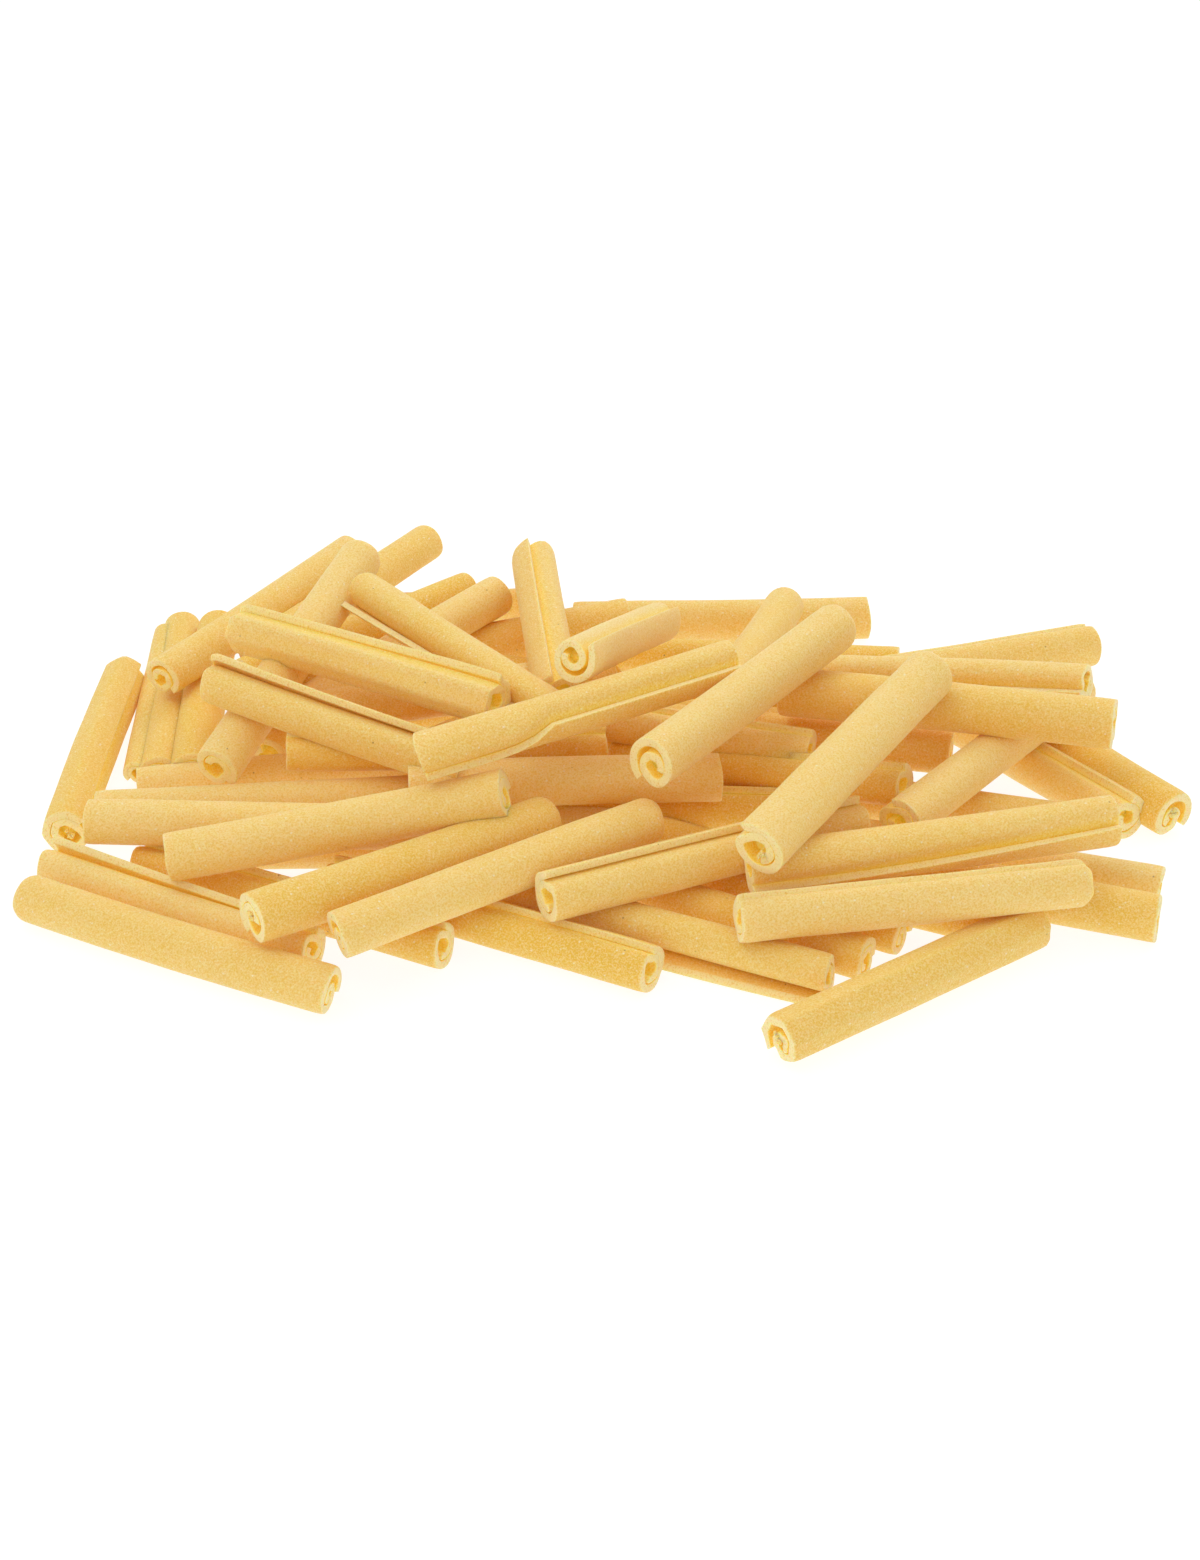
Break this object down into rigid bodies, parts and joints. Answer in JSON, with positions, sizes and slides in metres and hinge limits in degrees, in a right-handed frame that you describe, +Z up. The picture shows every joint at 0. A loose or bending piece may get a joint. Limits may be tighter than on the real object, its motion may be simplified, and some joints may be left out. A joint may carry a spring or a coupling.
{
  "type": "pasta al ceppo",
  "caption": "Loose heap of dry rolled pasta sticks lying crossed over each other, joined as one part with a flat underside.",
  "frame": {"origin": "middle of the heap's footprint, on the table it lies on", "axes": "+X to the right along the heap's long side, -Y towards the front, +Z up"},
  "size_m": [0.1838, 0.1536, 0.0344],
  "materials": {
    "semolina": "matte, fine sandy grain"
  },
  "bodies": {
    "root": {"pasta_heap": "semolina"}
  },
  "joints": []
}
